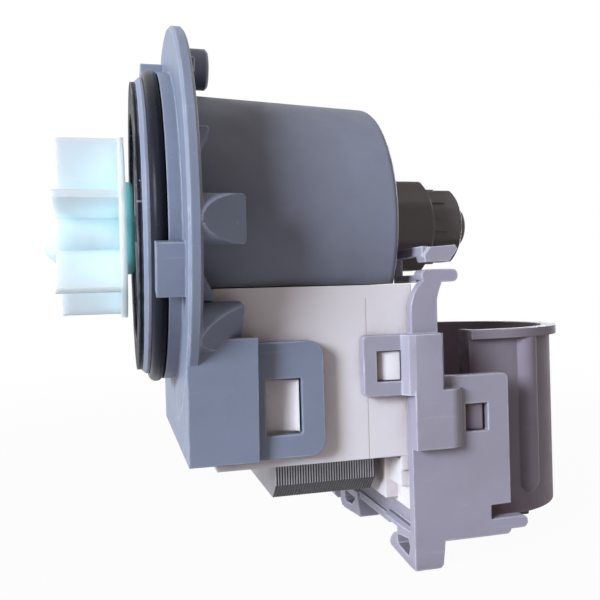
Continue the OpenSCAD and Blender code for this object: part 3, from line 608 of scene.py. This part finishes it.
# Dark joints between stacked sheets on the faces that cut across them, and painted shade on faces
# that turn downward
def sheetJoints(tree, plan):
    apart = objectPlace(tree)
    along = mathNode(tree, "SUBTRACT", apart.outputs["X"], plan["start"])
    share = mathNode(tree, "FRACT", mathNode(tree, "DIVIDE", along, plan["pitch"]), None)
    opens = rampNode(tree, share, plan["from"], plan["from"] + plan["softFrom"])
    closes = rampNode(tree, share, plan["to"], plan["to"] - plan["softTo"])
    joint = mathNode(tree, "MULTIPLY", opens, closes)
    facing = tree.nodes.new("ShaderNodeNewGeometry")
    across = tree.nodes.new("ShaderNodeSeparateXYZ")
    tree.links.new(facing.outputs["True Normal"], across.inputs[0])
    endOn = mathNode(tree, "ABSOLUTE", across.outputs["X"], None)
    side = mathNode(tree, "SUBTRACT", 1.0, endOn, True)
    # Faces turned downward go toward the joint colour: painted shade
    down = mathNode(tree, "MULTIPLY", across.outputs["Z"], -1.0)
    below = rampNode(tree, down, *plan["downTurn"])
    shadedBelow = mathNode(tree, "MULTIPLY", below, plan["below"])
    return mathNode(tree, "MAXIMUM", mathNode(tree, "MULTIPLY", joint, side), shadedBelow)


# What a metal has where its own settings say nothing else
usualMetal = {
    "mottle": 0.5, "shadeAndGrime": 0.5, "wearAndHighlight": 0.6, "specks": 0.2, "scratches": 0.3, "reach": 0.004,
    "lay": (1, 1, 1), "layScale": 800.0, "layDetail": 3.0, "layRoughness": 0.6, "bump": 0.3,
    "relief": 0.00008, "metal": 1.0,
}


def metalMaterial(name, look):
    material, tree, shader = startMaterial(name)
    edges, paint = handledPaint(tree, look)
    lines = noiseNode(tree, stretchNode(tree, look["lay"]), look["layScale"], look["layDetail"],
                      look["layRoughness"])
    height = mathNode(tree, "ADD", lines, paint.outputs["Marks"])
    colour = paint.outputs["Colour"]
    if "sheets" in look:
        joints = sheetJoints(tree, look["sheets"])
        colour = mixColour(tree, joints, colour, look["sheets"]["colour"])
    tree.links.new(colour, shader.inputs["Base Color"])
    tree.links.new(paint.outputs["Roughness"], shader.inputs["Roughness"])
    bump = addBump(tree, height, look["bump"], look["relief"], edges.outputs["Normal"])
    tree.links.new(bump, shader.inputs["Normal"])
    shader.inputs["Metallic"].default_value = look["metal"]
    return material


metalLooks = {
    "coreSteel": {
        "colour": tone(150, 148, 154), "shade": tone(48, 44, 46), "wornAndHighlit": tone(196, 196, 204),
        "gloss": 0.40, "metal": 0.6, "mottle": 0.35, "shadeAndGrime": 1.0, "wearAndHighlight": 0.7, "reach": 0.0005,
        "lay": (14, 1, 1), "layScale": 420.0,
        # The below setting paints shade on sheet faces that turn downward
        "sheets": {
            "start": 0.0186, "pitch": 0.00056, "from": 0.40, "softFrom": 0.12, "to": 1.0,
            "softTo": 0.06, "below": 0.75, "downTurn": (0.2, 0.6), "colour": tone(26, 24, 26),
        },
    },
    "copperWire": {
        "colour": tone(196, 112, 62), "shade": tone(132, 66, 32), "wornAndHighlit": tone(232, 160, 110),
        "gloss": 0.28, "lay": (1, 1, 12), "layScale": 240.0, "bump": 0.6,
    },
    "bladeMetal": {
        "colour": tone(200, 192, 168), "shade": tone(150, 140, 112),
        "wornAndHighlit": tone(230, 226, 212),
        "gloss": 0.26, "lay": (1, 9, 1), "layScale": 300.0,
    },
    "shaftSteel": {
        "colour": tone(196, 198, 202), "shade": tone(140, 142, 148),
        "wornAndHighlit": tone(232, 234, 238),
        "gloss": 0.20, "lay": (12, 1, 1), "layScale": 500.0, "bump": 0.15,
    },
    "bearingBronze": {
        "colour": tone(168, 128, 82), "shade": tone(112, 80, 48), "wornAndHighlit": tone(206, 170, 120),
        "gloss": 0.36,
    },
    "ferrite": {
        "colour": tone(66, 64, 66), "shade": tone(42, 41, 42), "wornAndHighlit": tone(112, 110, 112),
        "gloss": 0.5, "metal": 0.3, "layScale": 1200.0,
    },
}

finishes = {}
for finishName, look in plasticLooks.items():
    finishes[finishName] = plasticMaterial(finishName, {**usualPlastic, **look})
for finishName, look in metalLooks.items():
    finishes[finishName] = metalMaterial(finishName, {**usualMetal, **look})
print("finishes made:", len(finishes))

finishOfSlot = {
    "head_plastic": "headPlastic", "black_rubber": "blackRubber",
    "black_plastic": "blackPlastic", "drum_plastic": "drumPlastic",
    "nose_plastic": "nosePlastic", "bearing_bronze": "bearingBronze",
    "shaft_steel": "shaftSteel", "natural_plastic": "naturalPlastic", "ferrite": "ferrite",
    "impeller_plastic": "impellerPlastic", "teal_plastic": "tealPlastic",
    "core_steel": "coreSteel", "copper_wire": "copperWire", "cover_plastic": "coverPlastic",
    "blade_metal": "bladeMetal", "housing_plastic": "housingPlastic",
    "shroud_plastic": "shroudPlastic",
}

slotOfNode = {part["node"]: part["material_slot"] for part in frame["record"]["subparts"]}
finishOfNode = {"front_seal_ring": "sealRing"}  # speckled, unlike the other black rubber

for nodeName, node in nodes.items():
    finish = finishes[finishOfNode.get(nodeName, finishOfSlot[slotOfNode[nodeName]])]
    node.data.materials.clear()
    node.data.materials.append(finish)
print("every solid has its finish")


# Mouldings with their edges rounded off, each made from a copy of its solid

def placePiece(name, mesh, body, slotName, replaced):
    piece = bpy.data.objects.new(name, mesh)
    bpy.context.scene.collection.objects.link(piece)
    mesh.materials.clear()
    mesh.materials.append(finishes[finishOfSlot[slotName]])
    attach(piece, body)
    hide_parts(*replaced)
    return piece


def evenShading(piece, angle):
    piece.data.shade_smooth()
    piece.data.set_sharp_from_angle(angle=math.radians(angle))
    weigh = piece.modifiers.new("evenShading", "WEIGHTED_NORMAL")
    weigh.keep_sharp = True


# Shared by all mouldings, lengths in metres and angles in degrees
edgeRule = {
    "joined": 0.000002, "flatter": 0.4, "segments": 2, "sharperThan": 30, "longerThan": 0.0003,
    "smoothBelow": 50,
}


def roundedMoulding(nodeName, plan):
    mesh = nodes[nodeName].data.copy()
    mesh.name = nodeName + "Moulding"
    shape = bmesh.new()
    shape.from_mesh(mesh)
    bmesh.ops.remove_doubles(shape, verts=shape.verts, dist=edgeRule["joined"])
    bmesh.ops.dissolve_limit(shape, angle_limit=math.radians(edgeRule["flatter"]),
                             verts=shape.verts, edges=shape.edges)
    sharp = [edge for edge in shape.edges
             if edge.is_manifold
             and edge.calc_face_angle(0.0) > math.radians(edgeRule["sharperThan"])
             and edge.calc_length() > edgeRule["longerThan"]]
    bmesh.ops.bevel(shape, geom=sharp, offset=plan["radius"], offset_type="OFFSET",
                    affect="EDGES", segments=edgeRule["segments"], profile=0.5, material=-1,
                    clamp_overlap=True, loop_slide=True)
    shape.normal_update()
    shape.to_mesh(mesh)
    shape.free()
    piece = placePiece(nodeName + "Moulding", mesh, plan["body"], slotOfNode[nodeName], (nodeName,))
    evenShading(piece, edgeRule["smoothBelow"])
    print(piece.name, "has", len(mesh.polygons), "faces")


mouldingPlan = {
    "pump_head": {"body": "housing", "radius": 0.0004},
    "motor_drum": {"body": "housing", "radius": 0.0003},
    "rotor_can": {"body": "housing", "radius": 0.0003},
    "coil_cover": {"body": "housing", "radius": 0.0003},
    "terminal_housing": {"body": "housing", "radius": 0.0003},
    "connector_shroud": {"body": "housing", "radius": 0.0003},
    "impeller": {"body": "impeller", "radius": 0.0004},
    "coupling_cap": {"body": "impeller", "radius": 0.0002},
}

for nodeName, mouldingSettings in mouldingPlan.items():
    roundedMoulding(nodeName, mouldingSettings)
print("mouldings rounded")


# Wound coils in place of the plain solids, each one wire laid turn on turn

woundPlan = {
    "wire": 0.00042, "corner": 0.0014, "cornerSteps": 5, "sides": 6, "edge": 0.00015,
}


def woundCoil(nodeName, plan):
    corners = [vertex.co for vertex in nodes[nodeName].data.vertices]
    low = Vector([min(corner[i] for corner in corners) for i in range(3)])
    high = Vector([max(corner[i] for corner in corners) for i in range(3)])
    middle = (low + high) / 2
    thick = plan["wire"] / 2
    halfX = (high.x - low.x) / 2 - thick - plan["corner"]
    halfY = (high.y - low.y) / 2 - thick - plan["corner"]
    loop = []
    for quarter, (signX, signY) in enumerate(((1, 1), (-1, 1), (-1, -1), (1, -1))):
        turnCentre = Vector((signX * halfX, signY * halfY, 0))
        for step in range(plan["cornerSteps"] + 1):
            angle = math.pi / 2 * (quarter + step / plan["cornerSteps"])
            outward = Vector((math.cos(angle), math.sin(angle), 0))
            loop.append((turnCentre + plan["corner"] * outward, outward))
    height = high.z - low.z - 2 * plan["edge"] - plan["wire"]
    turns = int(height / plan["wire"])
    rise = height / turns / len(loop)
    base = Vector((middle.x, middle.y, low.z + plan["edge"] + thick))
    shape = bmesh.new()
    rings = []
    for place in range(turns * len(loop) + 1):
        point, outward = loop[place % len(loop)]
        centre = base + point + Vector((0, 0, place * rise))
        ring = []
        for side in range(plan["sides"]):
            angle = 2 * math.pi * side / plan["sides"]
            aside = math.cos(angle) * outward + math.sin(angle) * Vector((0, 0, 1))
            ring.append(shape.verts.new(centre + thick * aside))
        rings.append(ring)
    for first, second in zip(rings, rings[1:]):
        for side in range(plan["sides"]):
            following = (side + 1) % plan["sides"]
            shape.faces.new((first[side], second[side], second[following], first[following]))
    shape.faces.new(rings[0])
    shape.faces.new(list(reversed(rings[-1])))
    bmesh.ops.recalc_face_normals(shape, faces=shape.faces)
    mesh = bpy.data.meshes.new(nodeName + "Wound")
    shape.to_mesh(mesh)
    shape.free()
    piece = placePiece(nodeName + "Wound", mesh, "housing", slotOfNode[nodeName], (nodeName,))
    piece.data.shade_smooth()
    print(piece.name, "has", turns, "turns")


for nodeName in ("near_winding", "far_winding"):
    woundCoil(nodeName, woundPlan)
